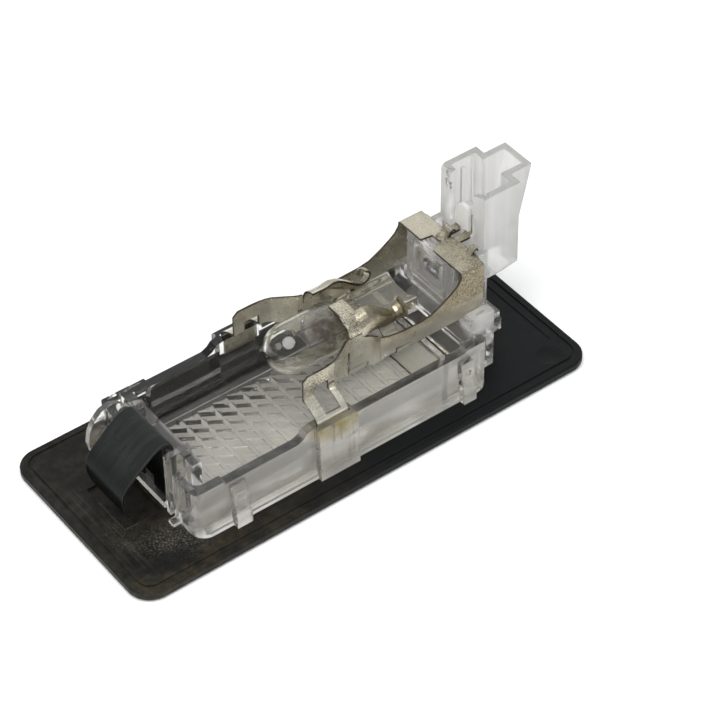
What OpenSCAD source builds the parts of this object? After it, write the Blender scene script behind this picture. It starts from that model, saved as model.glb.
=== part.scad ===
// Number plate lamp: a black flange frame, a clear lens housing with its
// connector shroud, two folded contact strips, a leaf spring clip and a
// wedge-base bulb. It lies on its outer face: X along the flange towards the
// connector, Y across it, Z up out of the back, z = 0 on the outer face.

/* [Flange] */
// Length of the flange along X
flange_l = 100; // [98:0.5:106]
// Width of the flange along Y
flange_w = 42.5; // [41:0.5:46]
// Thickness of the flange plate
flange_t = 2; // [1.8:0.1:2.2]
// Corner radius of the flange
flange_r = 4.6; // [3:0.2:6]
// Depth of the shallow groove that runs inside the flange edge
groove_d = 0.3; // [0.2:0.05:0.5]

/* [Housing] */
// Half width of the housing foot on the flange
foot_y = 16; // [15.8:0.1:16.4]
// Height of the long walls above the outer face
wall_h = 11.7; // [11:0.1:12.4]
// Thickness of the long walls at the rim
wall_t = 1.9; // [1.6:0.1:2.2]
// Height of the left end wall above the outer face
end_h = 13.6; // [13:0.1:14]
// Width of a column of lens prisms along X
prism_x = 3.25; // [2.8:0.05:3.8]
// Pitch of the prism steps along Y
prism_y = 2.5; // [2.3:0.1:3]
// Height of the prism steps
prism_h = 1.3; // [0.4:0.1:1.5]

/* [Connector] */
// Top of the connector shroud above the outer face
shroud_top = 37; // [35:0.5:39]
// Wall thickness of the connector shroud
shroud_t = 1.2; // [1:0.1:1.4]
// Height of the terminal tips above the outer face
blade_top = 29.8; // [29:0.2:33]

/* [Contacts] */
// Thickness of the contact sheet
sheet_t = 0.4; // [0.3:0.05:0.5]
// Height of the bridge plates above the outer face, to mid sheet
bridge_z = 25.2; // [25.2:0.1:25.4]

/* [Clip] */
// Thickness of the spring leaf
leaf_t = 0.5; // [0.4:0.05:0.6]
// Width of the spring leaf
leaf_w = 11.6; // [10.6:0.2:11.8]

/* [Bulb] */
// Outer diameter of the bulb glass
bulb_d = 9.6; // [9.2:0.1:9.8]
// Wall thickness of the bulb glass
glass_t = 0.55; // [0.4:0.05:0.7]
// Thickness of the wedge base
wedge_t = 2.1; // [1.9:0.1:2.2]

/* [Hidden] */
$fn = 48;
e = 0.01;
win_x0 = -30.2;              // window in the flange
win_x1 = 28.2;
win_y = 12.15;
gap = 0.15;                  // clearance of the lens in the window
leaf_y = 0.4;                // the clip sits this far off the centre line
bulb_z = 18.6;               // height of the bulb axis
br = bulb_d / 2;
tip_x = -8.1;                // end of the bulb dome
butt_x = 21.5;               // end of the wedge base
lead_y = 2.3;                // lead wires leave the pinch here
lead_r = 0.2;
joint_r = lead_r + 0.015;    // rounded bends of the wires
bead_y = 3.4;                // rounded edges of the wedge base
bead_r = 1.2;
fold_y = 4.25;               // folded lead ends lie here
fold_z = bulb_z + sqrt(pow(bead_r + lead_r, 2) - pow(fold_y - bead_y, 2));
bz = bridge_z;

// ---- helpers -----------------------------------------------------------
function unit(v) = v / norm(v);
function nrm(a, b) = let (d = unit(b - a)) [-d[1], d[0]];
function off(p, h) = [for (i = [0 : len(p) - 1])
    let (n0 = i > 0 ? nrm(p[i - 1], p[i]) : nrm(p[0], p[1]),
         n1 = i < len(p) - 1 ? nrm(p[i], p[i + 1]) : nrm(p[i - 1], p[i]),
         m = unit(n0 + n1))
    p[i] + m * h / max(0.4, m * n0)];
function rev(p) = [for (i = [len(p) - 1 : -1 : 0]) p[i]];
function ribbon(p, t) = concat(off(p, t / 2), rev(off(p, -t / 2)));
function chai(p) = concat([p[0]],
    [for (i = [0 : len(p) - 2]) each [p[i] * 0.75 + p[i + 1] * 0.25,
                                      p[i] * 0.25 + p[i + 1] * 0.75]],
    [p[len(p) - 1]]);
function smooth(p, n = 2) = n <= 0 ? p : smooth(chai(p), n - 1);

// polygon in (x, z), from y0 to y1
module xz(poly, y0, y1) rotate([90, 0, 0]) translate([0, 0, -y1])
    linear_extrude(y1 - y0) polygon(poly);
// polygon in (y, z), from x0 to x1
module yz(poly, x0, x1) rotate([90, 0, 90]) translate([0, 0, x0])
    linear_extrude(x1 - x0) polygon(poly);
// box from corner to corner
module box(x0, x1, y0, y1, z0, z1) translate([x0, y0, z0])
    cube([x1 - x0, y1 - y0, z1 - z0]);
// rounded rectangle, corner to corner
module rrect(x0, x1, y0, y1, r) {
    translate([x0 + r, y0]) square([x1 - x0 - 2 * r, y1 - y0]);
    translate([x0, y0 + r]) square([x1 - x0, y1 - y0 - 2 * r]);
    for (x = [x0 + r, x1 - r], y = [y0 + r, y1 - r])
        translate([x, y]) circle(r);
}
module both_sides() { children(); mirror([0, 1, 0]) children(); }

// ---- flange frame --------------------------------------------------------
module flange_frame() color([0.11, 0.11, 0.105]) {
    fl = flange_l / 2;
    fw = flange_w / 2;
    difference() {
        union() {
            linear_extrude(0.7) rrect(-fl + 0.5, fl - 0.5, -fw + 0.5, fw - 0.5,
                                      flange_r - 0.5);
            translate([0, 0, 0.5]) linear_extrude(flange_t - 0.8)
                rrect(-fl, fl, -fw, fw, flange_r);
            translate([0, 0, flange_t - 0.5]) linear_extrude(0.5)
                rrect(-fl + 0.3, fl - 0.3, -fw + 0.3, fw - 0.3,
                      flange_r - 0.3);
        }
        // window for the lens
        translate([0, 0, -1]) linear_extrude(flange_t + 2)
            rrect(win_x0, win_x1, -win_y, win_y, 2);
        // groove just inside the edge
        translate([0, 0, flange_t - groove_d]) linear_extrude(1) difference() {
            rrect(-fl + 1.5, fl - 1.5, -fw + 1.5, fw - 1.5, flange_r - 1.5);
            rrect(-fl + 2.1, fl - 2.1, -fw + 2.1, fw - 2.1, flange_r - 2.1);
        }
        // pocket under the free end of the leaf spring
        box(-43, -35.2, -5.3, 6.8, flange_t - 0.6, flange_t + 1);
        // shallow dish near the corners at the connector end
        for (y = [-16.4, 16.4]) translate([43.6, y, flange_t + 7.6]) sphere(8);
        // line across the connector end
        box(46.0, 46.5, -13.2, 13.2, flange_t - 0.2, flange_t + 1);
    }
}

// ---- lens housing --------------------------------------------------------
// section of the two long walls, the foot and the lens floor
module long_walls() {
    wo = foot_y - 1.1;
    wi = wo - wall_t;
    fy = win_y - gap;
    both_sides() yz([[foot_y, flange_t], [foot_y - 0.05, flange_t + 0.7],
        [foot_y - 0.35, flange_t + 0.9], [wo, wall_h - 1], [wo, 15],
        [wi, 15], [wi, wall_h - 1], [11.4, 1.1], [11.4, 0.3],
        [fy, 0.3], [fy, flange_t]], -34.5, 30);
}
// top line of the long walls, seen along Y
module wall_line() xz([[-35, -1], [-35, 12.4], [-30, 12.4], [-29.2, wall_h],
    [-12.4, wall_h], [-11.2, 12.3], [-10.4, 13.2], [-9, 13.6], [-0.4, 13.6],
    [-0.2, 12.1], [24.6, 12.1], [25.2, 12.6], [31, 12.6], [31, -1]],
    -20, 20);

// one column of slanted prism steps, which grow towards the far wall, and the
// low bar beside it
module prism_col(x0) {
    q = prism_y * sin(58);
    m = ceil(14 / q);
    x1 = x0 + prism_x;
    intersection() {
        box(max(x0 + 0.45, -29.2), min(x1 - 0.4, 20.8), -11.2, 11.2, 0.9, 3);
        translate([(x0 + x1) / 2, (x0 + x1 + 30) / 32 - 0.4, 1.1 - e])
            rotate([0, 0, 58]) xz([[-m * q, -0.3], for (i = [-m : m - 1])
                each [[i * q, prism_h * (0.16 + 0.84 / (1 + pow(3.2, 2 - i)))],
                      [(i + 1) * q - e, 0]], [m * q, -0.3]], -9, 9);
    }
    box(max(x0 - 0.42, -29.2), x0 + 0.47, -11.2, 11.2, 0.9, 1.34);
}
module lens_floor() {
    linear_extrude(0.85)
        rrect(win_x0 + gap, win_x1 - gap, -win_y + gap, win_y - gap, 1.9);
}
module lens_body() {
    translate([0, 0, 0.3]) lens_floor();
    for (i = [-4 : floor(32.5 / prism_x)]) prism_col(-13.6 + prism_x * i);
}

// snap tab with its slot on the outer side of a long wall
module wall_tab(x0, x1) difference() {
    yz([[14.6, flange_t], [foot_y + 1.2, flange_t], [foot_y + 1.2, 4],
        [foot_y + 0.1, 11], [14.6, 11]], x0, x1);
    box(x0 + 0.7, x1 - 0.7, foot_y - 0.1, foot_y + 0.55, 5.6, 9.2);
}
// post that takes the leg of a contact strip in a slot from above
module leg_post() difference() {
    yz([[13.2, flange_t], [foot_y + 0.9, flange_t], [foot_y + 0.5, 12.9],
        [foot_y - 0.1, 13.6], [13.2, 13.6]], -9, -0.4);
    box(-8.3, -1, 14.2, 14.8, 9, 20);
}

module left_end() {
    // main end wall, and its foot inside the flange window
    box(-31, -29, -9.4, 13.4, flange_t, end_h);
    box(win_x0 + gap, -29, -9.4, win_y - 2.2, 0.6, flange_t + e);
    // thin upright that the clip straddles
    box(-33.45, -32.5, leaf_y - leaf_w / 2 - 0.9, leaf_y + leaf_w / 2 + 0.9,
        flange_t, 15.4);
    // ledge bar at its foot
    box(-34.6, -33.4, leaf_y - leaf_w / 2 + 0.1, leaf_y + leaf_w / 2 - 0.1,
        flange_t, 3.6);
    // near ribs beside the clip, joined by a web to the corner
    box(-34.7, -29.5, -7.3, -6.1, flange_t, 15.8);
    box(-34.7, -29.5, -9.4, -8.6, flange_t, 13.2);
    box(-33.4, -32.6, -14.6, -6.6, flange_t, 11.2);
    box(-36, -33.4, -10.1, -8.5, flange_t, 2.8);
    // far rib and the guard cheek that follows the clip outwards
    xz([[-29.5, flange_t], [-34.4, flange_t], [-34.6, 9.5], [-41, 9.5],
        [-41.5, 12], [-41.1, 14.4], [-40, 16.7], [-38.4, 18.2], [-36.4, 18.7],
        [-34.6, 18.1], [-33.6, 16.8], [-32.6, 16], [-29.5, 15.2]], 7.1, 8.3);
    box(-33.4, -32.6, 7.4, 14.6, flange_t, 11.2);
    // rounded corners of the foot
    both_sides() difference() {
        translate([0, 0, flange_t]) linear_extrude(10.4) difference() {
            rrect(-34.5, -20, 2, foot_y - 1.1, 3);
            rrect(-33, -20, 2, foot_y - 1.1 - wall_t, 1.6);
        }
        box(-35, -19, -30, 9.4, 0, 30);
        box(-28, -19, 0, 30, 0, 30);
    }
}

module right_end() {
    // end wall of the lens chamber, and the end wall of the housing
    box(20.5, 21.7, -13.4, 13.4, flange_t, 12);
    box(20.5, 21.7, -win_y + 0.3, win_y - 0.3, 0.5, flange_t + e);
    box(28.6, 30, -13.9, 13.9, flange_t, 12.6);
    // arm posts with a groove on top for the strip
    both_sides() difference() {
        box(28.6, 34, 8.1, 11.7, flange_t, 15.3);
        box(29.8, 32.6, -0.1, 10.6, flange_t + 1.2, 11.4);
        box(28, 34.1, 9.15 - sheet_t / 2 - 0.08, 9.15 + sheet_t / 2 + 0.08,
            14.68, 20);
        box(30.4, 32.6, 10.3, 11, 13.4, 20);
    }
    // base between the posts and the fixed hook of the lamp
    box(32.9, 34, -8.2, 8.2, flange_t, 14.2);
    difference() {
        translate([0, 0, 6.3]) linear_extrude(1.6)
            rrect(30, 38.9, -8.9, 8.9, 1.5);
        box(35.2, 37, -6.4, 6.4, 5, 9);
    }
    box(37.6, 38.9, -7.4, 7.4, 7.7, 9.2);
}

// tower under the bridge plates
module tower() difference() {
    union() {
        box(28.3, 29.5, -6.9, 6.9, 12, bz - sheet_t / 2);
        both_sides() box(28.3, 36, 5.7, 6.9, 12, bz - sheet_t / 2);
        box(28.3, 34, -6.9, 6.9, 12, 13.2);
        // raised frame round the window
        box(27.6, 28.4, -4.6, 4.6, 16.2, 24.3);
        box(31.2, 32.1, -6.2, 6.2, 22.6, bz - sheet_t / 2);
    }
    box(27, 30, -3.5, 3.5, 17.3, 23.2);
    both_sides() box(30.2, 33.4, 5, 8, 14.6, 21.8);
}
// locating peg between the two bridge plates
module peg() translate([31.6, 0.9, 22.6]) {
    cylinder(h = bz - 22.6 + 0.4, r = 0.85);
    translate([0, 0, bz - 22.6 + 0.4]) sphere(0.85);
}

// outline of the shroud: a box with a narrower key at its far side
module shroud_plan(o) {
    translate([35.5 + o, -6.3 + o]) square([8.1 - 2 * o, 12.6 - 2 * o]);
    translate([35.5 + o, -3.5 + o]) square([13 - 2 * o, 7.5 - 2 * o]);
}
// everything beyond the slanted end of the key, moved inwards by o
module key_slant(o) xz([[44 - o, 0], [44 - o, 16.7], [45.2 - o, 22],
    [48.5 - o, 36.5], [48.5 - o, 60], [60, 60], [60, 0]], -9, 9);
module shroud() difference() {
    union() {
        difference() {
            translate([0, 0, 17.6]) linear_extrude(shroud_top - 17.6)
                shroud_plan(0);
            key_slant(0);
            // socket, and the hollow below its floor
            difference() {
                union() {
                    translate([0, 0, bz + 0.9]) linear_extrude(30)
                        shroud_plan(shroud_t);
                    translate([0, 0, 10]) linear_extrude(bz - 1.4 - 10)
                        shroud_plan(shroud_t);
                }
                key_slant(shroud_t);
            }
        }
        // ribs inside the socket
        box(39.1, 39.9, 4.6, 5.4, bz, shroud_top - 2);
        box(41.4, 42, 4.6, 5.4, bz, shroud_top - 0.4);
    }
    // open side towards the strips
    box(35, 36.8, -3, 3.5, bz + 0.9, 40);
    // rounded far corner and sloped near corner at its top
    difference() {
        box(35.4, 36.8, 3, 7, shroud_top - 1.3, shroud_top + 1);
        translate([36.8, -8, shroud_top - 1.3]) rotate([-90, 0, 0])
            cylinder(h = 16, r = 1.3);
    }
    yz([[-6.2, shroud_top], [-2.9, shroud_top - 1.4], [-2.9, shroud_top + 1],
        [-6.2, shroud_top + 1]], 35.4, 36.8);
    // passages for the terminals through the lower wall and the floor
    both_sides() {
        box(30, 36.6, 0.4, 2.4, bz - sheet_t / 2 - 0.06, bz + 1);
        box(36.5, 37.4 + sheet_t, 0.4, 4.1, bz - sheet_t / 2 - 0.06, bz + 1);
    }
    // sloped lower edge
    xz([[33, 10], [50, 10], [50, 20.4], [43.6, 18.2], [33, 16.6]], -9, 9);
}
// tongue that stands in the open side
module shroud_tongue() difference() {
    yz([[-1.8, bz + 0.4], [2.9, bz + 0.4], [2.75, 26.6], [1.95, 29.2],
        [1.55, 30.5], [0.95, 31.3], [0.3, 31.6], [-0.9, 31.6], [-1.4, 31.3],
        [-1.6, 30.7]], 35.5, 36.3);
    both_sides() box(30, 36.6, 0.4, 2.4, bz - sheet_t / 2 - 0.06, bz + 1);
}

module lens_housing() color([0.86, 0.87, 0.86, 0.45]) {
    difference() {
        intersection() {
            union() { long_walls(); }
            wall_line();
            union() {
                translate([0, 0, flange_t]) linear_extrude(20)
                    rrect(-34.5, 30, -foot_y, foot_y, 3);
                linear_extrude(flange_t + 1) rrect(win_x0 + gap, win_x1 - gap,
                    -win_y + gap, win_y - gap, 1.9);
            }
        }
        // the walls give way to the leg posts' slots
        both_sides() box(-8.3, -1, 14.2, 14.8, 9, 20);
    }
    lens_body();
    both_sides() {
        wall_tab(-27.3, -24.1);
        wall_tab(22.9, 25.7);
        leg_post();
    }
    left_end();
    right_end();
    tower();
    peg();
    shroud();
    shroud_tongue();
}

// ---- spring clip ---------------------------------------------------------
// hook, crest and outward bowed leaf, seen along Y
leaf_path = [[-32.15, 13.4], [-32.15, 15.2], [-32.5, 16.5], [-33.7, 17.15],
    [-35.1, 16.85], [-36.8, 15.7], [-38.9, 14.05], [-41, 12.2], [-42.2, 10.9],
    [-42.85, 9.4], [-42.85, 7.8], [-42.5, 6.1], [-41.9, 4.2]];
module spring_clip() color([0.09, 0.095, 0.095]) {
    y0 = leaf_y - leaf_w / 2;
    y1 = leaf_y + leaf_w / 2;
    xz(ribbon(smooth(leaf_path), leaf_t), y0, y1);
    // inner leg that lies against the upright
    difference() {
        xz(ribbon(smooth([[-33.72, 4.1], [-33.72, 9], [-33.72, 14.6],
            [-33.75, 16], [-34.2, 17.05]], 1), leaf_t - 0.06),
            y0 + 0.6, y1 - 0.6);
        box(-34.4, -33, leaf_y - 1.6, leaf_y + 1.6, 3, 6.5);
    }
}

// ---- contact strips --------------------------------------------------------
// plan of the upright part of a strip, (x, distance from the centre line)
web_plan = smooth([[-8.1, 10.5], [-1.3, 10.5], [1.6, 8.8], [4.4, 6.95],
    [7.7, 6.9], [9.6, 7.4], [10.9, 9.15], [33.2, 9.15]], 2);
// its outline seen from the side, (x, z)
web_side = [[-8.1, 16.2], [-8.1, 20.7], [-7, 21.65], [4.8, 21.65],
    [4.8, 21.2], [7.5, 21.2], [7.6, 20.4], [8.2, 20], [9.6, 19.7],
    [12, 19.2], [15, 18.9], [19, 18.9], [21.4, 19.3], [23.6, 20.4],
    [25.9, 21.8], [27.2, 22.8], [28, 24], [28.1, 24.4], [33.2, 24.4],
    [33.2, 16.6], [31.8, 14.7], [12.2, 14.7], [10.9, 14.1], [9.8, 13.1],
    [8.6, 12.7], [8.6, 13.9], [4.45, 13.9], [4.45, 18.4], [3.95, 18.4],
    [3.95, 12.7], [0.7, 15.7], [-1.1, 16.2]];

// sheet through a grid of points: its two faces and its rims
module sheet_loft(g, t) {
    m = len(g);
    k = len(g[0]);
    function at(i, j) = g[max(0, min(m - 1, i))][max(0, min(k - 1, j))];
    function up(i, j) = unit(cross(at(i + 1, j) - at(i - 1, j),
                                   at(i, j + 1) - at(i, j - 1)));
    function id(side, i, j) = side * m * k + i * k + j;
    polyhedron(
        points = [for (w = [1, -1], i = [0 : m - 1], j = [0 : k - 1])
            g[i][j] + w * t / 2 * up(i, j)],
        faces = [
            for (i = [0 : m - 2], j = [0 : k - 2]) each [
                [id(0, i, j), id(0, i, j + 1), id(0, i + 1, j)],
                [id(0, i + 1, j), id(0, i, j + 1), id(0, i + 1, j + 1)],
                [id(1, i, j), id(1, i + 1, j), id(1, i, j + 1)],
                [id(1, i + 1, j), id(1, i + 1, j + 1), id(1, i, j + 1)]],
            for (i = [0 : m - 2]) each [
                [id(0, i, 0), id(0, i + 1, 0), id(1, i + 1, 0)],
                [id(0, i, 0), id(1, i + 1, 0), id(1, i, 0)],
                [id(0, i + 1, k - 1), id(0, i, k - 1), id(1, i, k - 1)],
                [id(0, i + 1, k - 1), id(1, i, k - 1), id(1, i + 1, k - 1)]],
            for (j = [0 : k - 2]) each [
                [id(0, 0, j), id(1, 0, j), id(1, 0, j + 1)],
                [id(0, 0, j), id(1, 0, j + 1), id(0, 0, j + 1)],
                [id(1, m - 1, j), id(0, m - 1, j), id(0, m - 1, j + 1)],
                [id(1, m - 1, j), id(0, m - 1, j + 1), id(1, m - 1, j + 1)]]]);
}
// collar over the neck of the bulb, then the tongue that presses on the
// wedge base and its rolled tip: [x, foot, shoulder, free edge] in (y, z)
tongue_at = [
    [4.8, [6.95, 19.8], [7, 23.6], [3.9, 23.9]],
    [6.2, [6.93, 19.8], [7, 23.5], [3.9, 23.8]],
    [7.5, [6.92, 19.8], [7, 23.4], [3.9, 23.75]],
    [8.5, [6.92, 20.3], [6.95, 23.5], [3.95, 23.85]],
    [9.6, [6.85, 20.4], [6.8, 23.7], [4, 24]],
    [10.8, [6.7, 20.1], [6.7, 23.4], [4, 23.7]],
    [12, [6.4, 19.6], [6.45, 22.7], [4, 22.9]],
    [13.2, [6.1, 19.1], [6.15, 21.9], [4, 21.9]],
    [14.4, [5.8, 18.7], [5.8, 21], [4, 20.95]],
    [15.4, [5.5, 18.45], [5.6, 20.3], [3.95, 20.42]],
    [16.3, [5.4, 18.4], [5.55, 20.15], [3.95, 20.36]],
    [17.0, [5.6, 18.5], [5.75, 20.4], [4, 20.6]],
    [17.6, [6.1, 18.8], [6.2, 20.9], [4.05, 21.1]],
    [17.85, [6.6, 19.2], [6.7, 21.5], [4.15, 21.65]],
    [17.65, [7, 19.5], [7.1, 22], [4.3, 22.1]],
    [17.1, [7.15, 19.7], [7.25, 22.2], [4.45, 22.3]]];
function bend(b, c, t, u) = b * (1 - u) * (1 - u) + c * 2 * u * (1 - u)
    + t * u * u;
function tongue_grid(n) = [for (v = tongue_at) [for (j = [0 : n])
    let (w = bend(v[1], v[2], v[3], j / n)) [v[0], w[0], w[1]]]];

// everything that the two strips share, built for y > 0
module strip_common() {
    st = sheet_t;
    difference() {
        intersection() {
            linear_extrude(40) polygon(ribbon(web_plan, st));
            xz(web_side, 0, 20);
        }
        box(-5.7, -2.7, 9, 12, 10, 18.5);
    }
    sheet_loft(tongue_grid(9), st);
    // turned-in lower edge of the web
    intersection() {
        yz(ribbon(smooth([[6.92, 15], [6.92, 13.4], [6.6, 12.4], [5.8, 11.9],
            [5, 11.8]]), st), 4.45, 8.6);
        xz([[4.45, 11.3], [6.5, 11.5], [8.6, 12.6], [8.6, 15], [4.45, 15]],
            4, 8);
    }
    // lower tongue, curled in under the wedge base
    yz(ribbon(smooth([[9.15, 15.6], [9.15, 14.6], [8, 14.1], [6, 14.9],
        [4.4, 16.4], [3.5, 17.1]]), st), 13.5, 16.6);
    // leg: outwards, down into the slot of the post
    difference() {
        yz(ribbon(smooth([[10.5, 17.4], [10.5, 16.4], [12, 15.9],
            [13.5, 15.1], [14.5, 14], [14.5, 12.4], [14.5, 9.2]]), st),
            -8.1, -1.3);
        box(-5.7, -2.7, 9, 14.1, 10, 18.5);
    }
    // bend from the bridge plate into the upright part
    yz(ribbon(smooth([[7.4, bz], [8.75, bz], [9.15, 24.9], [9.15, 23.6]]),
        st), 28.1, 33.2);
    // terminal in the socket: a narrow neck, then a blade with a round tip
    intersection() {
        xz(ribbon(smooth([[33, bz], [36.2, bz], [37, bz + 0.5],
            [37, bz + 1.6], [37, blade_top + 1]], 2), st + 0.1), 0.5, 4.3);
        union() {
            box(30, 36.75, 0.55, 2.25, 20, 30);
            yz(concat([[0.6, 20], [3.6, 20], [3.6, bz + 1]],
                [for (a = [0 : 20 : 180]) [2.05 + 1.2 * cos(a),
                    blade_top - 1.5 + 1.5 * sin(a)]],
                [[0.6, bz + 1]]), 36.6, 40);
        }
    }
}

module contact_strip_near() color([0.66, 0.64, 0.56]) {
    mirror([0, 1, 0]) strip_common();
    difference() {
        translate([0, 0, bz - sheet_t / 2]) linear_extrude(sheet_t)
            polygon([[28.1, -7.6], [28.1, -1.1], [29.4, -0.3], [30.4, -0.3],
                     [30.4, -0.25], [33.1, -0.25], [33.4, -1.6],
                     [33.4, -7.6]]);
        translate([31.6, 0.9, 20]) cylinder(h = 10, r = 1.0);
    }
    // curled lug on the edge of the plate
    xz(ribbon(smooth([[32.5, bz], [32.9, bz + 0.3], [33.2, bz + 1],
        [33.9, bz + 1.1], [34.2, bz + 0.5]], 1), sheet_t), -6.4, -5);
    // the near collar reaches on over the neck of the bulb
    yz(ribbon([[-4.4, 23.72], [-3.9, 23.85], [-2.6, 23.93], [-0.3, 23.93]],
        sheet_t), 5.1, 8.3);
}

module contact_strip_far() color([0.7, 0.68, 0.6]) {
    strip_common();
    difference() {
        translate([0, 0, bz - sheet_t / 2]) linear_extrude(sheet_t)
            polygon([[28.1, 2.65], [30.5, 2.3], [30.6, 0.15], [33.2, 0.15],
                     [33.4, 1.6], [33.4, 7.6], [28.1, 7.6]]);
        translate([31.6, 0.9, 20]) cylinder(h = 10, r = 1.0);
    }
    // curled lug beside the peg
    xz(ribbon(smooth([[32.6, bz], [32.9, bz + 0.35], [33.1, bz + 1.1],
        [33.8, bz + 1.2], [34.2, bz + 0.7]], 1), sheet_t), 0.15, 2.3);
}

// ---- bulb ----------------------------------------------------------------
function dome(r, x0, n) = [for (i = [0 : n]) let (a = 90 * i / n)
    [r * sin(a), x0 + r - r * cos(a)]];
module envelope_round(r, inner) {
    // outline as [radius, x], turned about X
    x0 = inner ? tip_x + glass_t : tip_x;
    neck = inner ? 7.4 : 8.2;
    rotate([0, 90, 0]) rotate_extrude($fn = 64) polygon(concat(
        dome(r, x0, 10), [[r, neck - 3.4], [r * 0.95, neck - 1.4],
        [r * 0.76, neck + 0.6], [inner ? 0.6 : r * 0.42, neck + 2.4],
        [0, neck + 2.6]]));
}
module bulb_envelope() color([0.9, 0.93, 0.93, 0.35]) translate([0, 0, bulb_z])
difference() {
    union() {
        envelope_round(br, false);
        // flat pinched base with rounded edges
        box(8.6, butt_x - 0.3, -bead_y, bead_y, -wedge_t / 2, wedge_t / 2);
        for (y = [-bead_y, bead_y]) {
            translate([6.2, y, 0]) rotate([0, 90, 0])
                cylinder(h = butt_x - 6.2, r = bead_r);
        }
        // locating rib across the base
        box(12.4, 13.3, -4.3, 4.3, -wedge_t / 2 - 0.35, wedge_t / 2 + 0.35);
    }
    envelope_round(br - glass_t, true);
    // channels of the lead wires
    for (y = [-lead_y, lead_y]) translate([5, y, 0]) rotate([0, 90, 0])
        cylinder(h = 20, r = lead_r);
}

// lead wire: support inside the glass, seal, and the folded end on the base
module lead(s) translate([0, 0, bulb_z]) {
    x1 = butt_x + lead_r + 0.05;
    zf = fold_z - bulb_z;
    translate([-0.6, s * lead_y, 0]) rotate([0, 90, 0])
        cylinder(h = x1 + 0.6, r = lead_r);
    translate([-0.6, s * lead_y, 0]) sphere(joint_r);
    translate([-0.6, s * lead_y, 0]) rotate([0, -20, 0])
        cylinder(h = 1.2, r = lead_r);
    translate([x1, s * lead_y, 0]) sphere(joint_r);
    // rise across the end face, then back along the edge bead
    translate([x1, s * lead_y, 0])
        rotate([-atan2(s * (fold_y - lead_y), zf), 0, 0])
        cylinder(h = norm([fold_y - lead_y, zf]), r = lead_r);
    translate([x1, s * fold_y, zf]) sphere(joint_r);
    translate([14.4, s * fold_y, zf]) rotate([0, 90, 0])
        cylinder(h = x1 - 14.4, r = lead_r);
}
module bulb_lead_near() color([0.72, 0.71, 0.68]) lead(-1);
module bulb_lead_far() color([0.72, 0.71, 0.68]) lead(1);

// coiled filament between the supports: a thin rod of the coil's size
module bulb_filament() color([0.35, 0.34, 0.33]) translate([0, 0, bulb_z]) {
    fx = -1.02;
    fz = 1.3;
    for (s = [-1, 1]) translate([fx, s * lead_y, fz])
        rotate([s * 90, 0, 0])
        cylinder(h = lead_y + e, r = 0.16);
}

flange_frame();
lens_housing();
spring_clip();
contact_strip_near();
contact_strip_far();
bulb_envelope();
bulb_lead_near();
bulb_lead_far();
bulb_filament();
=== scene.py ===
import math
import random

import bmesh
import bpy
import numpy as np
from mathutils import Matrix, Vector


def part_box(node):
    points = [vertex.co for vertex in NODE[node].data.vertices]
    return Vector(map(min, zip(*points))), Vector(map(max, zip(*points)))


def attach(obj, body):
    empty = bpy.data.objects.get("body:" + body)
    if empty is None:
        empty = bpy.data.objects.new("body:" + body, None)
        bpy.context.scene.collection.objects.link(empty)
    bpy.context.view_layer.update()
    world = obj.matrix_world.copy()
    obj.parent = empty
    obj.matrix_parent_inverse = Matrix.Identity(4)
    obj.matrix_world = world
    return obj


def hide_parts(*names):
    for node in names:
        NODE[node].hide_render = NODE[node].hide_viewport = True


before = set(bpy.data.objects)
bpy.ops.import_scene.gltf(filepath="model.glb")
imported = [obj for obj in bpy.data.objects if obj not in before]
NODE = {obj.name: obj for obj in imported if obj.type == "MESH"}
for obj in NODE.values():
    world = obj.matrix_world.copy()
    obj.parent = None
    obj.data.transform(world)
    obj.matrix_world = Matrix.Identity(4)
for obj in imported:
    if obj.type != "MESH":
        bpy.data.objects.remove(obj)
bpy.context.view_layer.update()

MM = 0.001
random.seed(7)


# ---------------------------------------------------------------- camera ----
def make_camera():
    right = Vector((0.79818, -0.60231, -0.00878))
    down = Vector((-0.42171, -0.54731, -0.72290))
    fwd = right.cross(down).normalized()
    right.normalize()
    down = fwd.cross(right).normalized()
    m = Matrix((right, -down, -fwd)).transposed().to_4x4()
    m.translation = Vector((-0.20826, -0.29732, 0.36027))
    data = bpy.data.cameras.new("camera")
    data.sensor_width = 36.0
    data.lens = 140.515
    data.clip_start = 0.02
    data.clip_end = 20
    data.dof.use_dof = False
    cam = bpy.data.objects.new("camera", data)
    cam.matrix_world = m
    bpy.context.scene.collection.objects.link(cam)
    bpy.context.scene.camera = cam
    return cam


make_camera()


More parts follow.
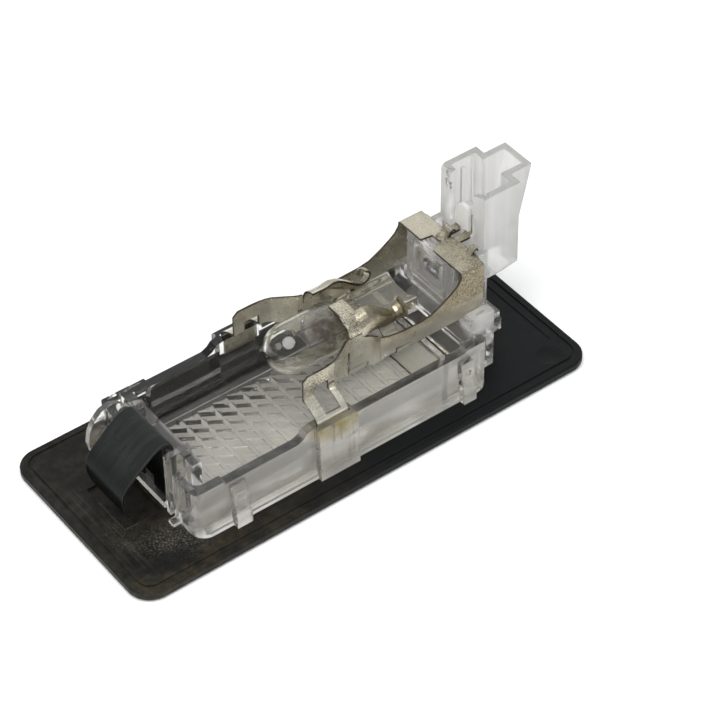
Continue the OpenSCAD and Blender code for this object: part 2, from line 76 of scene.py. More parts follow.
# -------------------------------------------------------------- shader kit ----
class Mat:
    """A procedural material built node by node."""

    def __init__(self, name):
        self.m = bpy.data.materials.new(name)
        self.m.use_nodes = True
        self.t = self.m.node_tree
        self.t.nodes.clear()
        self.out = self.t.nodes.new("ShaderNodeOutputMaterial")
        self.co = self.t.nodes.new("ShaderNodeTexCoord").outputs["Object"]

    def n(self, kind, **props):
        node = self.t.nodes.new(kind)
        for k, v in props.items():
            setattr(node, k, v)
        return node

    def put(self, node, name, value):
        s = node.inputs[name] if not isinstance(name, int) else node.inputs[name]
        if isinstance(value, bpy.types.NodeSocket):
            self.t.links.new(value, s)
        else:
            s.default_value = value
        return node

    def mapped(self, scale=(1, 1, 1), rot=(0, 0, 0), loc=(0, 0, 0), co=None):
        node = self.n("ShaderNodeMapping")
        self.put(node, "Vector", self.co if co is None else co)
        node.inputs["Scale"].default_value = scale
        node.inputs["Rotation"].default_value = rot
        node.inputs["Location"].default_value = loc
        return node.outputs[0]

    def noise(self, scale, detail=4, rough=0.55, co=None, dist=0.0):
        node = self.n("ShaderNodeTexNoise")
        self.put(node, "Vector", self.co if co is None else co)
        node.inputs["Scale"].default_value = scale
        node.inputs["Detail"].default_value = detail
        node.inputs["Roughness"].default_value = rough
        node.inputs["Distortion"].default_value = dist
        return node.outputs["Fac"]

    def voronoi(self, scale, feature="F1", co=None):
        node = self.n("ShaderNodeTexVoronoi", feature=feature)
        self.put(node, "Vector", self.co if co is None else co)
        node.inputs["Scale"].default_value = scale
        return node.outputs["Distance"]

    def ramp(self, fac, stops, mode="LINEAR"):
        node = self.n("ShaderNodeValToRGB")
        self.put(node, "Fac", fac)
        el = node.color_ramp.elements
        node.color_ramp.interpolation = mode
        while len(el) < len(stops):
            el.new(0.5)
        for e, (p, c) in zip(el, stops):
            e.position = p
            e.color = (c, c, c, 1) if isinstance(c, (int, float)) else (*c, 1)
        return node.outputs[0]

    def math(self, op, a, b=0.0, clamp=False):
        node = self.n("ShaderNodeMath", operation=op, use_clamp=clamp)
        self.put(node, 0, a)
        self.put(node, 1, b)
        return node.outputs[0]

    def mix(self, fac, a, b, mode="MIX"):
        node = self.n("ShaderNodeMix", data_type="RGBA", blend_type=mode)
        self.put(node, 0, fac)
        for i, v in ((6, a), (7, b)):
            self.put(node, i, v if isinstance(v, bpy.types.NodeSocket) else (*v, 1))
        return node.outputs[2]

    def xyz(self):
        node = self.n("ShaderNodeSeparateXYZ")
        self.put(node, 0, self.co)
        return node.outputs

    def spot(self, centre, radius, soft=0.6, squash=(1, 1, 1)):
        """1 inside a soft ball round a point, in metres."""
        sub = self.n("ShaderNodeVectorMath", operation="SUBTRACT")
        self.put(sub, 0, self.co)
        sub.inputs[1].default_value = centre
        mul = self.n("ShaderNodeVectorMath", operation="MULTIPLY")
        self.put(mul, 0, sub.outputs[0])
        mul.inputs[1].default_value = squash
        ln = self.n("ShaderNodeVectorMath", operation="LENGTH")
        self.put(ln, 0, mul.outputs[0])
        mr = self.n("ShaderNodeMapRange", interpolation_type="SMOOTHSTEP")
        self.put(mr, 0, ln.outputs["Value"])
        mr.inputs[1].default_value = radius
        mr.inputs[2].default_value = radius * (1 - soft)
        return mr.outputs[0]

    def facing(self, axis, lo, hi):
        """0 to 1 as the surface turns towards a direction."""
        geo = self.n("ShaderNodeNewGeometry")
        dot = self.n("ShaderNodeVectorMath", operation="DOT_PRODUCT")
        self.put(dot, 0, geo.outputs["Normal"])
        dot.inputs[1].default_value = axis
        mr = self.n("ShaderNodeMapRange")
        self.put(mr, 0, dot.outputs["Value"])
        mr.inputs[1].default_value = lo
        mr.inputs[2].default_value = hi
        return mr.outputs[0]

    def edge(self, width, lo=0.02, hi=0.35):
        """1 along edges: the rounded normal differs from the true one there."""
        bev = self.n("ShaderNodeBevel", samples=6)
        bev.inputs["Radius"].default_value = width
        geo = self.n("ShaderNodeNewGeometry")
        dot = self.n("ShaderNodeVectorMath", operation="DOT_PRODUCT")
        self.put(dot, 0, bev.outputs[0])
        self.put(dot, 1, geo.outputs["Normal"])
        inv = self.math("SUBTRACT", 1.0, dot.outputs["Value"])
        mr = self.n("ShaderNodeMapRange")
        self.put(mr, 0, inv)
        mr.inputs[1].default_value = lo
        mr.inputs[2].default_value = hi
        return mr.outputs[0]

    def bump(self, height, strength=0.3, dist=0.0001, normal=None):
        node = self.n("ShaderNodeBump")
        self.put(node, "Height", height)
        node.inputs["Strength"].default_value = strength
        node.inputs["Distance"].default_value = dist
        if normal is not None:
            self.put(node, "Normal", normal)
        return node.outputs[0]

    def bsdf(self, **kw):
        node = self.n("ShaderNodeBsdfPrincipled")
        for k, v in kw.items():
            k = k.replace("_", " ")
            if isinstance(v, tuple) and len(v) == 3:
                v = (*v, 1)
            self.put(node, k, v)
        self.t.links.new(node.outputs[0], self.out.inputs[0])
        return node


def flange_mat():
    m = Mat("black_moulded")
    x, y, z = m.xyz()
    fine = m.noise(9000, 3, 0.7)
    grime = m.noise(130, 6, 0.62)
    mott = m.noise(600, 5, 0.6)
    # the black is lighter and warmer towards the left, where the dust lies, and darker and cooler towards the right as
    # a painted dark reflection
    left = m.ramp(m.math("ADD", m.math("MULTIPLY", x, -14.0), 0.3), [(0.25, 0.0), (0.85, 1.0)])
    dust = m.math("MULTIPLY", m.ramp(m.math("MULTIPLY", grime, mott), [(0.17, 0.0), (0.34, 1.0)]), left)
    base = m.mix(left, (0.0026, 0.0033, 0.0038), (0.0044, 0.0040, 0.0031))
    base = m.mix(m.math("MULTIPLY", dust, 0.5), base, (0.032, 0.028, 0.02))
    # brown along the rim at the near left corner: wear, and a painted highlight along the edge
    rimy = m.ramp(m.math("ADD", m.math("MULTIPLY", y, -60.0), 0.0), [(0.98, 0.0), (1.0, 1.0)])
    rim_wear_and_highlight = m.math("MULTIPLY", rimy, m.math("MULTIPLY", left, m.ramp(m.noise(420, 4, 0.7), [(0.42, 0.0), (0.7, 1.0)])))
    base = m.mix(m.math("MULTIPLY", rim_wear_and_highlight, 0.45), base, (0.07, 0.055, 0.03))
    # scuffed and dusty places by the foot of the housing
    speck = m.ramp(m.noise(2600, 5, 0.75), [(0.5, 0.0), (0.66, 1.0)])
    scuff = m.math("MULTIPLY", m.math("ADD", m.spot((-0.0372, -0.0128, 0.002), 0.0085, 0.8, (1, 1.2, 1)),
                   m.math("MULTIPLY", m.spot((-0.0440, -0.0065, 0.002), 0.005, 0.8, (1, 0.7, 1)), 0.35), True), speck)
    base = m.mix(m.math("MULTIPLY", scuff, 0.75), base, (0.17, 0.165, 0.14))
    # fine scratches
    hair = m.ramp(m.noise(700, 2, 0.5, co=m.mapped((1, 0.04, 1), (0, 0, 0.7))), [(0.66, 0.0), (0.69, 1.0)])
    base = m.mix(m.math("MULTIPLY", m.math("MULTIPLY", hair, left), 0.1), base, (0.10, 0.095, 0.08))
    # smooth oval mark
    oval = m.spot((-0.0405, -0.0162, 0.002), 0.0062, 0.6, (1.0, 1.9, 1))
    base = m.mix(m.math("MULTIPLY", oval, 0.7), base, (0.0035, 0.0042, 0.005))
    # light line by the free end of the clip, partly dust and partly a painted highlight on the lit edges of the pocket,
    # and soft dark marks
    ax = m.math("MULTIPLY", m.math("ABSOLUTE", m.math("ADD", x, 0.0429)), 1000.0)
    ay = m.math("MULTIPLY", m.math("ABSOLUTE", m.math("ADD", y, 0.00523)), 1000.0)
    lx = m.math("MULTIPLY", m.ramp(ax, [(0.18, 1.0), (0.42, 0.0)]), m.spot((-0.0429, -0.001, 0.002), 0.0046, 0.2))
    ly = m.math("MULTIPLY", m.ramp(ay, [(0.18, 1.0), (0.42, 0.0)]), m.spot((-0.0415, -0.0052, 0.002), 0.0016, 0.2))
    ridge_highlight_and_dust = m.math("MULTIPLY", m.math("ADD", lx, ly, True), m.ramp(m.noise(900, 3, 0.6), [(0.35, 0.2), (0.6, 1.0)]))
    base = m.mix(m.math("MULTIPLY", ridge_highlight_and_dust, 0.55), base, (0.075, 0.072, 0.06))
    # painted shade: the soft dark mark at the right-hand corner stands for a recess
    soft = m.spot((0.0446, -0.0165, 0.002), 0.0034, 0.8, (1.6, 0.8, 1))
    base = m.mix(m.math("MULTIPLY", soft, 0.7), base, (0.001, 0.001, 0.001))
    # painted highlight: the edges are lightened
    edge = m.edge(0.0005)
    base = m.mix(m.math("MULTIPLY", edge, 0.25), base, (0.045, 0.043, 0.038))
    rough = m.ramp(mott, [(0.3, 0.36), (0.7, 0.52)])
    rough = m.mix(m.math("MULTIPLY", oval, 0.8), rough, (0.3, 0.3, 0.3))
    rough = m.mix(m.math("MULTIPLY", scuff, 0.8), rough, (0.7, 0.7, 0.7))
    m.bsdf(Base_Color=base, Roughness=rough, Specular_IOR_Level=0.16,
           Normal=m.bump(m.math("ADD", fine, m.math("MULTIPLY", mott, 1.5)), 0.3, 0.00006))
    return m.m


def clear_mat():
    m = Mat("clear_moulded")
    x, y, z = m.xyz()
    haze = m.noise(110, 4, 0.6)
    fine = m.noise(2500, 3, 0.6)
    flow = m.noise(90, 3, 0.5, co=m.mapped((1, 1, 3)))
    streak = m.noise(520, 3, 0.6, co=m.mapped((1, 1, 0.05)))
    # the plug shroud is frosted
    up = m.ramp(m.math("SUBTRACT", m.math("ADD", m.math("MULTIPLY", x, 60.0), m.math("MULTIPLY", z, 30.0)), 2.35),
                [(0.2, 0.0), (0.6, 1.0)])
    base = m.mix(m.ramp(haze, [(0.35, 0.0), (0.7, 1.0)]),
                 (0.955, 0.945, 0.92), (0.925, 0.91, 0.875))
    # painted shade and light on the lens floor: it is tinted darker, and lighter towards +x on the near side
    low = m.ramp(m.math("MULTIPLY", z, 100.0), [(0.25, 1.0), (0.4, 0.0)])
    lens_painted_light = m.math("MULTIPLY", m.ramp(m.math("MULTIPLY", x, 40.0), [(0.12, 0.0), (0.5, 1.0)]),
                    m.ramp(m.math("MULTIPLY", y, 40.0), [(0.01, 1.0), (0.08, 0.0)]))
    base = m.mix(low, base, m.mix(lens_painted_light, (0.735, 0.72, 0.68), (0.975, 0.96, 0.905)))
    frost = m.mix(m.ramp(streak, [(0.38, 0.0), (0.62, 1.0)]), (0.91, 0.905, 0.89), (0.83, 0.825, 0.81))
    base = m.mix(up, base, frost)
    # painted shade: the rim of the shroud and the upward faces of the frosted shroud are darkened
    rim = m.math("MAXIMUM", m.ramp(m.math("MULTIPLY", z, 20.0), [(0.733, 0.0), (0.738, 1.0)]),
                 m.math("MULTIPLY", m.math("MULTIPLY", m.facing((0, 0.25, 1), 0.6, 0.75), up),
                        m.ramp(m.math("MULTIPLY", x, 10.0), [(0.366, 1.0), (0.372, 0.0)])))
    base = m.mix(m.math("MULTIPLY", rim, 0.75), base, (0.50, 0.50, 0.465))
    # yellowed round the near post, a little on the guard cheek of the clip
    aged = m.math("MULTIPLY", m.math("ADD", m.spot((-0.0045, -0.0156, 0.0135), 0.0076, 0.6, (0.85, 1, 1.55)),
                  m.math("MULTIPLY", m.spot((-0.0395, 0.0077, 0.012), 0.004, 0.8), 0.6), True),
                  m.ramp(m.noise(500, 3, 0.6), [(0.3, 0.7), (0.6, 1.0)]))
    base = m.mix(m.math("MULTIPLY", aged, 0.95), base, (0.34, 0.275, 0.095))
    # the near side is greyer, rougher and less clear than the far one, and lighter towards +x
    near = m.ramp(m.math("SUBTRACT", 0.5, m.math("MULTIPLY", y, 30.0)), [(0.86, 0.0), (0.9, 1.0)])
    near = m.math("MULTIPLY", near, m.facing((0, -1, 0), 0.3, 0.6))
    far = m.ramp(m.math("ADD", 0.5, m.math("MULTIPLY", y, 30.0)), [(0.84, 0.0), (0.88, 1.0)])
    # brown spots on the rim of the shroud
    stain = m.math("MULTIPLY", m.spot((0.0357, 0.0045, 0.0349), 0.0023, 0.7, (1, 2.9, 0.8)),
                   m.ramp(m.noise(900, 3, 0.6), [(0.4, 0.0), (0.5, 1.0)]))
    base = m.mix(m.math("MULTIPLY", stain, 0.85), base, (0.20, 0.15, 0.11))
    dots = m.math("ADD", m.spot((0.0355, 0.0036, 0.0341), 0.00055, 0.5), m.spot((0.0355, 0.0033, 0.0332), 0.0006, 0.5), True)
    base = m.mix(m.math("MULTIPLY", dots, 0.85), base, (0.07, 0.065, 0.06))
    # flow marks and rub marks on the near post
    rub = m.math("MULTIPLY", m.spot((-0.0045, -0.0165, 0.0085), 0.0062, 0.5),
                 m.ramp(m.noise(900, 4, 0.7, co=m.mapped((1, 1, 0.12))), [(0.5, 0.0), (0.62, 1.0)]))
    rough = m.ramp(haze, [(0.3, 0.03), (0.7, 0.085)])
    rough = m.mix(m.math("MULTIPLY", rub, 0.8), rough, (0.35, 0.35, 0.35))
    rough = m.mix(up, rough, (0.36, 0.36, 0.36))
    peg = m.spot((0.0316, 0.0009, 0.0262), 0.0016, 0.2)
    base = m.mix(peg, base, (0.60, 0.53, 0.38))
    trans = m.ramp(haze, [(0.3, 0.985), (0.7, 0.955)])
    trans = m.mix(peg, trans, (0.5, 0.5, 0.5))
    trans = m.mix(m.math("MULTIPLY", near, 0.85), trans, (0.66, 0.66, 0.66))
    base = m.mix(m.math("MULTIPLY", m.math("MULTIPLY", near, m.math("SUBTRACT", 1.0, m.math("MULTIPLY", aged, 2.5), True)), 0.9), base,
                 m.mix(m.ramp(m.noise(160, 4, 0.6), [(0.3, 0.0), (0.7, 1.0)]),
                       m.mix(m.ramp(m.math("ADD", m.math("MULTIPLY", x, 20.0), 0.7), [(0.1, 0.0), (0.85, 1.0)]), (0.47, 0.445, 0.395), (0.70, 0.68, 0.62)),
                       m.mix(m.ramp(m.math("ADD", m.math("MULTIPLY", x, 20.0), 0.7), [(0.1, 0.0), (0.85, 1.0)]), (0.38, 0.355, 0.31), (0.58, 0.56, 0.50))))
    trans = m.mix(m.math("MULTIPLY", far, 0.9), trans, (1.0, 1.0, 1.0))
    rough = m.mix(m.math("MULTIPLY", m.math("MULTIPLY", near, m.math("SUBTRACT", 1.0, up)), 0.85), rough, (0.27, 0.27, 0.27))
    tower = m.math("MULTIPLY", m.ramp(m.math("MULTIPLY", x, 10.0), [(0.265, 0.0), (0.28, 1.0)]),
                   m.ramp(m.math("MULTIPLY", z, 10.0), [(0.11, 0.0), (0.13, 1.0)]))
    rough = m.mix(m.math("MULTIPLY", tower, 0.8), rough, (0.22, 0.22, 0.22))
    trans = m.mix(m.math("MULTIPLY", tower, 0.8), trans, (0.88, 0.88, 0.88))
    block = m.math("MULTIPLY", m.spot((0.0313, -0.0108, 0.0136), 0.0052, 0.75, (1.0, 1.0, 1.15)), m.ramp(m.noise(260, 2, 0.5), [(0.35, 0.62), (0.65, 0.8)]))
    rough = m.mix(block, rough, (0.4, 0.4, 0.4))
    trans = m.mix(block, trans, (0.6, 0.6, 0.6))
    # painted shade: the top face of the near wall's rim is darkened
    rim_top_shade = m.math("MULTIPLY", m.facing((0, 0, 1), 0.7, 0.95),
                    m.math("MULTIPLY", m.ramp(m.math("MULTIPLY", y, -10.0), [(0.122, 0.0), (0.127, 1.0)]),
                           m.ramp(m.math("MULTIPLY", z, 10.0), [(0.108, 0.0), (0.112, 1.0)])))
    ripple = m.ramp(m.noise(330, 3, 0.6), [(0.36, 0.45), (0.6, 1.0)])
    base = m.mix(m.math("MULTIPLY", m.math("MULTIPLY", rim_top_shade, ripple), 0.95), base, (0.17, 0.166, 0.155))
    # painted shade: the prism risers on the far side are darkened and less clear
    riser_shade = m.math("MULTIPLY", m.math("MULTIPLY", m.facing((-0.53, -0.848, 0), 0.7, 0.9), low),
                  m.ramp(m.math("ADD", m.math("MULTIPLY", y, 60.0), 0.3), [(0.52, 0.0), (0.74, 1.0)]))
    riser_shade = m.math("MULTIPLY", riser_shade, m.ramp(m.math("ADD", m.math("MULTIPLY", x, -50.0), 0.1), [(0.0, 0.3), (0.35, 1.0)]))
    base = m.mix(m.math("MULTIPLY", riser_shade, 0.95), base, (0.03, 0.03, 0.03))
    trans = m.mix(m.math("MULTIPLY", riser_shade, 0.8), trans, (0.35, 0.35, 0.35))
    # painted light: the prism risers on the near side are lightened
    riser_light = m.math("MULTIPLY", m.math("MULTIPLY", m.facing((-0.53, -0.848, 0), 0.7, 0.9), low),
                  m.ramp(m.math("ADD", m.math("MULTIPLY", y, 60.0), 0.3), [(0.3, 1.0), (0.56, 0.0)]))
    base = m.mix(m.math("MULTIPLY", riser_light, 0.85), base, (0.95, 0.94, 0.91))
    trans = m.mix(m.math("MULTIPLY", riser_light, 0.75), trans, (0.4, 0.4, 0.4))
    trans = m.mix(m.math("MULTIPLY", aged, 0.8), trans, (0.5, 0.5, 0.5))
    lines = m.math("MULTIPLY", m.spot((-0.0045, -0.0166, 0.0095), 0.0075, 0.4, (1.2, 1, 1)),
                   m.ramp(m.noise(800, 2, 0.5, co=m.mapped((1, 1, 0.06))), [(0.52, 0.0), (0.6, 1.0)]))
    base = m.mix(m.math("MULTIPLY", lines, 0.7), base, (0.22, 0.21, 0.16))
    trans = m.mix(up, trans, (0.66, 0.66, 0.66))
    tongue = m.spot((0.0357, 0.0006, 0.0262), 0.0072, 0.3, (3, 1.5, 0.9))
    base = m.mix(m.math("MULTIPLY", tongue, 0.8), base, (0.97, 0.97, 0.955))
    trans = m.mix(m.math("MULTIPLY", tongue, 0.8), trans, (0.4, 0.4, 0.4))
    m.bsdf(Base_Color=base, Roughness=rough, IOR=1.5, Transmission_Weight=trans,
           Normal=m.bump(m.math("MULTIPLY", m.math("SUBTRACT", 1.0, m.math("MULTIPLY", tower, m.math("SUBTRACT", 0.85, m.math("MULTIPLY", up, 0.85)))),
                                m.math("ADD", m.math("ADD", flow, m.math("MULTIPLY", fine, 0.02)),
                                       m.math("MULTIPLY", m.math("MULTIPLY", streak, up), 0.3))), 0.25, 0.0002))
    return m.m


def glass_mat():
    m = Mat("bulb_glass")
    x, y, z = m.xyz()
    haze = m.noise(300, 3, 0.5)
    # smoky deposit towards the neck, cloudy warm glass in the pinched base
    neck = m.math("MULTIPLY", m.spot((0.0034, -0.002, 0.0200), 0.0078, 0.75, (1, 1, 1)),
                  m.ramp(m.noise(620, 5, 0.75), [(0.4, 0.1), (0.58, 1.0)]))
    seal = m.ramp(m.math("MULTIPLY", x, 50.0), [(0.38, 0.0), (0.5, 1.0)])
    base = m.mix(m.math("MULTIPLY", neck, 0.9), (0.93, 0.92, 0.87), (0.17, 0.115, 0.06))
    # a darker, patchy deposit on the side that faces up
    dark = m.math("MULTIPLY", m.spot((0.0020, -0.0028, 0.0222), 0.0036, 0.6, (0.85, 1, 1)),
                  m.ramp(m.noise(900, 5, 0.8), [(0.36, 0.3), (0.56, 1.0)]))
    base = m.mix(m.math("MULTIPLY", dark, 0.9), base, (0.085, 0.065, 0.04))
    base = m.mix(seal, base, m.mix(haze, (0.72, 0.69, 0.57), (0.60, 0.565, 0.45)))
    trans = m.mix(m.math("MULTIPLY", neck, 0.4), (1, 1, 1), (0.5, 0.5, 0.5))
    trans = m.mix(m.math("MULTIPLY", dark, 0.6), trans, (0.55, 0.55, 0.55))
    trans = m.mix(seal, trans, (0.92, 0.92, 0.92))
    rough = m.ramp(haze, [(0.3, 0.0), (0.8, 0.025)])
    rough = m.mix(seal, rough, (0.07, 0.07, 0.07))
    m.bsdf(Base_Color=base, Roughness=rough, IOR=1.5, Transmission_Weight=trans,
           Normal=m.bump(m.math("ADD", m.noise(180, 2, 0.5), m.math("MULTIPLY", m.math("MULTIPLY", seal, m.noise(420, 2, 0.5, co=m.mapped((0.4, 1, 1)))), 1.6)), 0.15, 0.0003))
    return m.m


def contact_mat(name, clean, dull, tarnish, rough0=0.24):
    m = Mat(name)
    big = m.noise(240, 5, 0.62)
    mid = m.noise(900, 4, 0.7)
    spk = m.noise(3800, 4, 0.78)
    patch = m.ramp(big, [(0.42, 0.0), (0.58, 1.0)])
    # dark specks gather on the outer bends of the leg, the collar and the arm
    spots = m.math("ADD", m.math("ADD", m.spot((-0.0050, -0.0118, 0.0172), 0.0066, 0.6), m.spot((0.0064, -0.0052, 0.0232), 0.0036, 0.7)),
                   m.math("ADD", m.spot((0.0295, -0.0093, 0.0215), 0.0058, 0.8), m.spot((0.0150, -0.0092, 0.0160), 0.0040, 0.8)), True)
    tarn = m.math("MULTIPLY", m.math("ADD", m.math("ADD", m.math("MULTIPLY", patch, 0.6), 0.15), m.math("MULTIPLY", spots, 0.8), True),
                  m.ramp(spk, [(0.47, 0.0), (0.57, 1.0)]))
    base = m.mix(m.ramp(mid, [(0.3, 0.0), (0.75, 1.0)]), clean, dull)
    x, y, z = m.xyz()
    near_leg = m.ramp(m.math("MULTIPLY", x, 20.0), [(0.12, 1.0), (0.22, 0.0)])
    plate = m.math("MULTIPLY", m.ramp(m.math("MULTIPLY", z, 20.0), [(0.49, 0.0), (0.51, 1.0)]),
                   m.ramp(m.math("MULTIPLY", x, 20.0), [(0.5, 0.0), (0.56, 1.0)]))
    # the near leg is lightened, and the flat top plates are lightened as painted light
    base = m.mix(m.math("MULTIPLY", m.math("MAXIMUM", m.math("MULTIPLY", near_leg, 1.45), m.math("MULTIPLY", plate, 0.8)), 0.5), base, (0.78, 0.75, 0.63))
    base = m.mix(m.math("MULTIPLY", tarn, tarnish), base, (0.13, 0.09, 0.045))
    low = m.ramp(m.math("MULTIPLY", z, 50.0), [(0.72, 1.0), (0.95, 0.0)])
    base = m.mix(m.math("MULTIPLY", low, 0.75), base, (0.74, 0.72, 0.63))
    tin = m.math("MULTIPLY", m.ramp(m.math("SUBTRACT", m.math("MULTIPLY", x, 100.0), 3.0), [(0.5, 0.0), (0.6, 1.0)]),
                 m.ramp(m.math("SUBTRACT", m.math("MULTIPLY", z, 100.0), 2.0), [(0.58, 0.0), (0.7, 1.0)]))
    base = m.mix(m.math("MULTIPLY", tin, 0.9), base, (0.86, 0.86, 0.84))
    edge = m.edge(0.0004, 0.01, 0.13)
    base = m.mix(m.math("MULTIPLY", edge, 0.8), base, (0.05, 0.038, 0.022))
    rough = m.ramp(big, [(0.3, rough0), (0.7, rough0 + 0.16)])
    m.bsdf(Base_Color=base, Metallic=0.92, Roughness=rough,
           Normal=m.bump(m.math("ADD", big, m.math("MULTIPLY", spk, 0.35)), 0.28, 0.0001))
    return m.m


def cut_edge_mat():
    m = Mat("cut_edge")
    big = m.noise(700, 4, 0.65)
    base = m.mix(m.ramp(big, [(0.35, 0.0), (0.65, 1.0)]), (0.02, 0.015, 0.008), (0.06, 0.046, 0.026))
    x, y, z = m.xyz()
    tin = m.ramp(m.math("SUBTRACT", m.math("MULTIPLY", x, 100.0), 3.0), [(0.52, 0.0), (0.6, 1.0)])
    base = m.mix(m.math("MULTIPLY", tin, 0.6), base, (0.40, 0.385, 0.33))
    m.bsdf(Base_Color=base, Metallic=0.6, Roughness=m.ramp(big, [(0.3, 0.4), (0.7, 0.6)]),
           Normal=m.bump(m.noise(2600, 3, 0.6, co=m.mapped((1, 1, 0.2))), 0.3, 0.00008))
    return m.m


def clip_mat():
    m = Mat("black_spring")
    big = m.noise(200, 5, 0.6)
    fine = m.noise(3500, 3, 0.7, co=m.mapped((1, 0.15, 1)))
    edge = m.edge(0.0004)
    base = m.mix(m.ramp(big, [(0.3, 0.0), (0.7, 1.0)]), (0.0055, 0.0066, 0.0063), (0.0108, 0.0132, 0.0122))
    x, y, z = m.xyz()
    # painted light and shade: lighter towards the top and darker towards the bottom
    base = m.mix(m.ramp(m.math("MULTIPLY", z, 50.0), [(0.46, 0.0), (0.7, 1.0)]), m.mix(0.7, base, (0.001, 0.0012, 0.0012)), m.mix(0.55, base, (0.034, 0.038, 0.036)))
    streaks = m.ramp(m.noise(700, 3, 0.6, co=m.mapped((0.12, 1, 0.12))), [(0.42, 0.0), (0.6, 1.0)])
    base = m.mix(m.math("MULTIPLY", streaks, 0.35), base, (0.002, 0.003, 0.0025))
    # painted highlight: the edges are lightened
    base = m.mix(m.math("MULTIPLY", edge, 0.5), base, (0.16, 0.155, 0.14))
    m.bsdf(Base_Color=base, Specular_IOR_Level=0.075, Roughness=m.ramp(big, [(0.3, 0.24), (0.7, 0.4)]),
           Normal=m.bump(fine, 0.12, 0.00005))
    return m.m


def wire_mat(name="lead_wire", c=(0.42, 0.40, 0.37)):
    m = Mat(name)
    big = m.noise(900, 4, 0.6)
    base = m.mix(big, c, tuple(x * 0.6 for x in c))
    m.bsdf(Base_Color=base, Metallic=1.0, Roughness=m.ramp(big, [(0.3, 0.25), (0.7, 0.45)]),
           Normal=m.bump(big, 0.1, 0.00004))
    return m.m


FLANGE = flange_mat()
CLEAR = clear_mat()
GLASS = glass_mat()
CONTACT = contact_mat("tinned_sheet", (0.385, 0.35, 0.255), (0.26, 0.226, 0.15), 0.95)
# the far strip takes a brighter copy of the same tinned sheet as painted light, with less tarnish
CONTACT_FAR = contact_mat("tinned_sheet_painted_lit", (0.50, 0.465, 0.37), (0.37, 0.335, 0.25), 0.5, 0.2)
CUT = cut_edge_mat()
CLIP = clip_mat()
WIRE = wire_mat()
FILAMENT = wire_mat("filament_wire", (0.25, 0.24, 0.23))


def weigh_edges(o, angle, shortest, floor):
    """Marks the sharp edges that are long enough to be rounded."""
    me = o.data
    at = [tuple(round(c * 1e6) for c in v.co) for v in me.vertices]
    sides = {}
    for p in me.polygons:
        vs = list(p.vertices)
        for a, b in zip(vs, vs[1:] + vs[:1]):
            sides.setdefault(tuple(sorted((at[a], at[b]))), []).append(Vector(p.normal))
    mark = me.attributes.new("bevel_weight_edge", "FLOAT", "EDGE")
    for e in me.edges:
        a, b = e.vertices
        ns = sides.get(tuple(sorted((at[a], at[b]))), [])
        va, vb = me.vertices[a].co, me.vertices[b].co
        sharp = len(ns) == 2 and ns[0].angle(ns[1], 0.0) > angle
        ok = sharp and (va - vb).length > shortest and (va.z + vb.z) / 2 > floor
        mark.data[e.index].value = 1.0 if ok else 0.0


def dress(name, mat, bevel=0.0, seg=2, angle=35, shrink=0.0, floor=-1.0):
    o = NODE[name]
    o.data.materials.clear()
    o.data.materials.append(mat)
    w = o.modifiers.new("weld", "WELD")
    w.merge_threshold = 0.000004
    if bevel:
        weigh_edges(o, math.radians(angle), bevel * 5, floor)
        b = o.modifiers.new("bevel", "BEVEL")
        b.width = bevel
        b.segments = seg
        b.limit_method = "WEIGHT"
        b.miter_outer = "MITER_ARC"
        b.use_clamp_overlap = False
        b.harden_normals = False
    if shrink:
        # an air gap round the moulding, but not at its far foot, which is wetted by the flange
        g = o.vertex_groups.new(name="free")
        g.add([v.index for v in o.data.vertices if not (v.co.y > 0.0114 and v.co.z < 0.0031)], 1.0, "REPLACE")
        t = o.modifiers.new("shrink", "DISPLACE")
        t.vertex_group = "free"
        t.strength = -shrink
        t.mid_level = 0.0
        t.direction = "NORMAL"
    if bevel:
        n = o.modifiers.new("normals", "WEIGHTED_NORMAL")
        n.mode = "FACE_AREA"
        n.keep_sharp = True
    return o


def mark_rims(name, rim_mat, thick):
    """The cut edges of a sheet-metal node get their own material: faces behind which the metal is deep."""
    from mathutils.bvhtree import BVHTree
    o = NODE[name]
    me = o.data
    o.data.materials.append(rim_mat)
    tree = BVHTree.FromPolygons([v.co for v in me.vertices], [tuple(p.vertices) for p in me.polygons])
    for p in me.polygons:
        c, n = Vector(p.center), Vector(p.normal)
        hit = tree.ray_cast(c - n * 2e-6, -n, 0.05)
        deep = hit[3] if hit[0] is not None else 1.0
        p.material_index = 1 if deep > thick else 0


dress("flange_frame", FLANGE, 0.0001, 2)
dress("lens_housing", CLEAR, 0.00007, 2, 35, 0.000012, 0.0031)
dress("spring_clip", CLIP, 0.00006, 2, 50)
dress("contact_strip_near", CONTACT, 0.00005, 2, 50)
dress("contact_strip_far", CONTACT_FAR, 0.00005, 2, 50)
mark_rims("contact_strip_near", CUT, 0.0009)
mark_rims("contact_strip_far", CUT, 0.0009)
dress("bulb_envelope", GLASS)
dress("bulb_lead_near", WIRE)
dress("bulb_lead_far", WIRE)
dress("bulb_filament", FILAMENT)


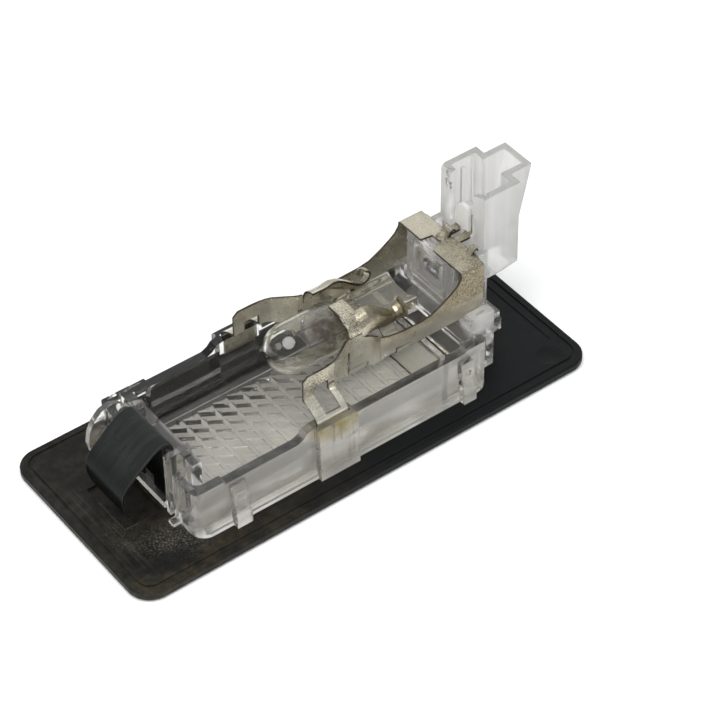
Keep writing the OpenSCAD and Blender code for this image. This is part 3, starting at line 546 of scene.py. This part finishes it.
# ---------------------------------------------------------------- filament ----
def make_filament():
    """A coiled wire between the two supports, with straight ends."""
    lo, hi = [Vector(c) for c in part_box("bulb_filament")]
    mid = (lo + hi) / 2
    r = (hi.x - lo.x) / 2 - 0.000035
    half = (hi.y - lo.y) / 2
    turns, seg = 34, 14
    pts = []
    for i in range(turns * seg + 1):
        t = i / (turns * seg)
        a = 2 * math.pi * turns * t
        grow = min(1.0, t * 12, (1 - t) * 12)
        y = -half * 0.96 + 2 * half * 0.96 * t
        pts.append(mid + Vector((r * grow * math.cos(a), y, r * grow * math.sin(a))))
    pts = [mid + Vector((0, -half, 0))] + pts + [mid + Vector((0, half, 0))]
    bm = bmesh.new()
    rings = []
    w = 0.00003
    for i, p in enumerate(pts):
        d = (pts[min(i + 1, len(pts) - 1)] - pts[max(i - 1, 0)]).normalized()
        u = d.cross(Vector((0.1, 1, 0.2))).normalized()
        v = d.cross(u)
        rings.append([bm.verts.new(p + (u * math.cos(k * math.pi / 3) + v * math.sin(k * math.pi / 3)) * w)
                      for k in range(6)])
    for a, b in zip(rings, rings[1:]):
        for k in range(6):
            bm.faces.new((a[k], a[(k + 1) % 6], b[(k + 1) % 6], b[k]))
    bm.faces.new(rings[0][::-1])
    bm.faces.new(rings[-1])
    bmesh.ops.recalc_face_normals(bm, faces=bm.faces)
    me = bpy.data.meshes.new("filament_coil")
    bm.to_mesh(me)
    bm.free()
    for f in me.polygons:
        f.use_smooth = True
    o = bpy.data.objects.new("filament_coil", me)
    bpy.context.scene.collection.objects.link(o)
    o.data.materials.append(FILAMENT)
    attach(o, "root")
    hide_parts("bulb_filament")


make_filament()


# ------------------------------------------------------------- floor, light ----
def make_stage():
    bm = bmesh.new()
    bmesh.ops.create_grid(bm, x_segments=8, y_segments=8, size=1.6)
    me = bpy.data.meshes.new("floor")
    bm.to_mesh(me)
    bm.free()
    o = bpy.data.objects.new("floor", me)
    o.location.z = -0.00002
    bpy.context.scene.collection.objects.link(o)
    m = Mat("floor_paper")
    fine = m.noise(60, 3, 0.5)
    m.bsdf(Base_Color=m.mix(fine, (0.86, 0.86, 0.86), (0.87, 0.87, 0.87)), Roughness=0.9,
           Specular_IOR_Level=0.1, Normal=m.bump(m.noise(900, 2, 0.5), 0.02, 0.00005))
    o.data.materials.append(m.m)


def area(name, loc, target, size, power, colour=(1, 1, 1)):
    d = bpy.data.lights.new(name, "AREA")
    d.energy = power
    d.color = colour
    d.shape = "DISK"
    d.size = size
    o = bpy.data.objects.new(name, d)
    o.location = loc
    o.rotation_euler = (Vector(target) - Vector(loc)).to_track_quat("-Z", "Y").to_euler()
    bpy.context.scene.collection.objects.link(o)
    return o


def make_light():
    w = bpy.data.worlds.new("studio")
    bpy.context.scene.world = w
    w.use_nodes = True
    bg = w.node_tree.nodes["Background"]
    bg.inputs[0].default_value = (0.97, 0.985, 1.0, 1)
    bg.inputs[1].default_value = 0.4
    area("top", (-0.3, -0.35, 1.0), (0, 0, 0.0), 1.13, 15.0)
    area("back", (0.42, 0.6, 0.72), (0, 0, 0.01), 1.24, 2.2)
    area("side", (-0.9, 0.1, 0.6), (0, 0, 0.01), 0.56, 1.6, (1.0, 0.98, 0.95))


make_stage()
make_light()
sc = bpy.context.scene
sc.view_settings.view_transform = "Standard"
sc.view_settings.look = "None"
sc.cycles.max_bounces = 24
sc.cycles.transmission_bounces = 24
sc.cycles.transparent_max_bounces = 16
sc.cycles.glossy_bounces = 8
sc.cycles.sample_clamp_indirect = 6
